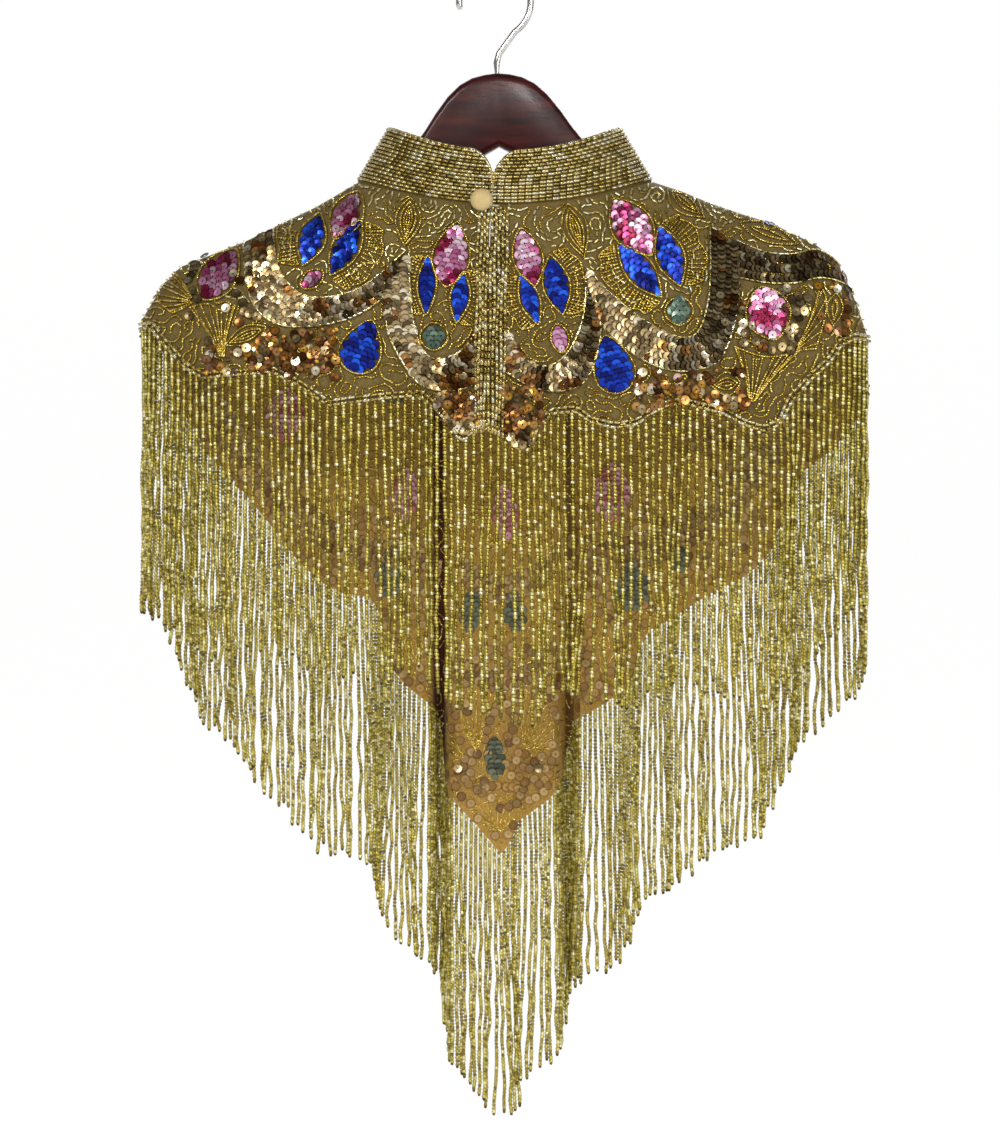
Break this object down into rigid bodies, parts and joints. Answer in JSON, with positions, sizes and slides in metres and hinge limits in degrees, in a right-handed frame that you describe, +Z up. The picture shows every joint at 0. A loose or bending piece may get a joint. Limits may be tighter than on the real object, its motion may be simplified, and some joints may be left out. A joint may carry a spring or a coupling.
{
  "type": "beaded capelet on a wooden hanger",
  "caption": "Short beaded net capelet with a stand collar, nape button, long pointed front and bead-string fringe, hanging on a lacquered wooden hanger.",
  "frame": {"origin": "bearing point inside the top of the hanger's hook, where the hook hangs on a rail", "axes": "+Z up, -Y towards the wearer's back with the slit and button, +X to the right when the back is looked at"},
  "size_m": [0.4074, 0.1434, 0.6481],
  "materials": {
    "wood": "dark red-brown gloss lacquer with fine scratches",
    "wire": "bright plated wire",
    "net": "grey-beige fine net carrying beadwork",
    "bugle": "champagne-gold lined glass tubes, glossy",
    "fringe_bead": "olive-gold lined glass seed beads, glossy",
    "seed_bead": "deep gold glass seed beads, glossy",
    "amber_bead": "amber-brown faceted glass, glossy",
    "sequin_bronze": "champagne-bronze metallic sequins",
    "sequin_pink": "pink and magenta metallic sequins",
    "sequin_blue": "deep blue metallic sequins",
    "sequin_green": "dark grey-green metallic sequins",
    "button_cover": "beige-gold satin",
    "loop_cord": "thin beige cord"
  },
  "bodies": {
    "root": {"hanger_body": "wood", "hanger_hook": "wire", "collar": "bugle", "back_left": "net", "back_right": "net", "front": "net", "placket_left": "bugle", "placket_right": "bugle", "button": "button_cover", "button_loop": "loop_cord", "fringe_back_left": "fringe_bead", "fringe_back_right": "fringe_bead", "fringe_front_left": "fringe_bead", "fringe_front_tab": "fringe_bead", "fringe_front_right": "fringe_bead"}
  },
  "joints": []
}
